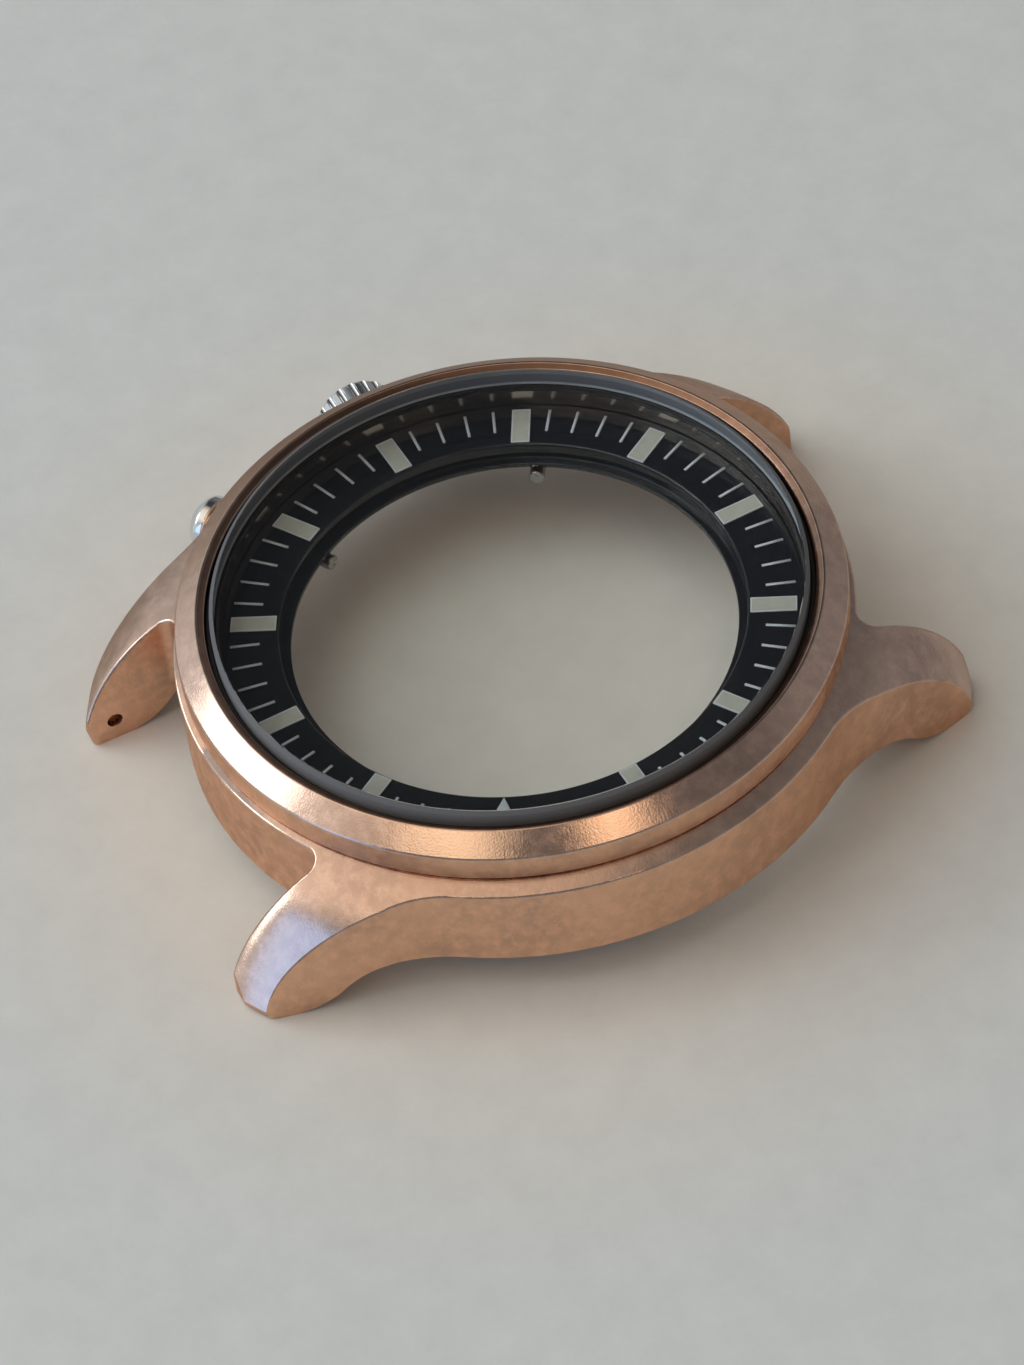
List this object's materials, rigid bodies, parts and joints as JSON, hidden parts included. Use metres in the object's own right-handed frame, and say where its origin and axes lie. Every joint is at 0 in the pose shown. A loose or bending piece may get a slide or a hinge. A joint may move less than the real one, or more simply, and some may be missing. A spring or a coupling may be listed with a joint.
{
  "type": "wristwatch case",
  "caption": "Empty bronze wristwatch case with a bevelled bezel, flat crystal, black chapter ring, fluted steel crown and two mushroom pushers.",
  "frame": {"origin": "centre of the mouth of the case back's bore, on the case's main axis", "axes": "+Z along the main axis from the wrist to the crystal; +Y towards the lugs at 12 o'clock; +X towards the crown at 3 o'clock"},
  "size_m": [0.045, 0.048, 0.0118],
  "materials": {
    "bronze": "satin",
    "polished_steel": "polished",
    "steel": "satin",
    "glass": "polished",
    "rubber": "matte",
    "ring_black": "gloss",
    "lume": "matte",
    "print_grey": "matte"
  },
  "bodies": {
    "case": {"mid_case": "bronze", "bezel": "bronze", "bezel_gasket": "rubber", "crystal": "glass", "crystal_gasket": "rubber", "crown_tube": "steel", "pusher_tube_two": "steel", "pusher_gasket_two": "rubber", "pusher_spring_two": "steel", "pusher_tube_four": "steel", "pusher_gasket_four": "rubber", "pusher_spring_four": "steel"},
    "ring": {"chapter_ring": "ring_black", "hour_blocks": "lume", "minute_lines": "print_grey", "twelve_triangle": "print_grey"},
    "crown_sleeve": {"crown_gasket": "rubber"},
    "crown": {"crown": "polished_steel"},
    "pusher_two": {"pusher_cap_two": "polished_steel", "pusher_stem_two": "steel", "pusher_clip_two": "steel"},
    "pusher_four": {"pusher_cap_four": "polished_steel", "pusher_stem_four": "steel", "pusher_clip_four": "steel"}
  },
  "joints": [
    {"name": "ring_turn", "type": "hinge", "parent": "case", "child": "ring", "pos_m": [0, 0, 0.0042], "axis": [0, 0, 1], "continuous": true},
    {"name": "crown_pull", "type": "slide", "parent": "case", "child": "crown_sleeve", "axis": [1, 0, 0], "range_m": [0, 0.001]},
    {"name": "crown_turn", "type": "hinge", "parent": "crown_sleeve", "child": "crown", "pos_m": [0.022, 0, 0.00305], "axis": [1, 0, 0], "continuous": true},
    {"name": "pusher_two_press", "type": "slide", "parent": "case", "child": "pusher_two", "axis": [-0.8526, -0.5225, 0], "range_m": [0, 0.0008], "stiffness_N_per_m": 1500, "springref_m": -0.001, "deforming": ["pusher_spring_two"]},
    {"name": "pusher_four_press", "type": "slide", "parent": "case", "child": "pusher_four", "axis": [-0.8526, 0.5225, 0], "range_m": [0, 0.0008], "stiffness_N_per_m": 1500, "springref_m": -0.001, "deforming": ["pusher_spring_four"]}
  ]
}
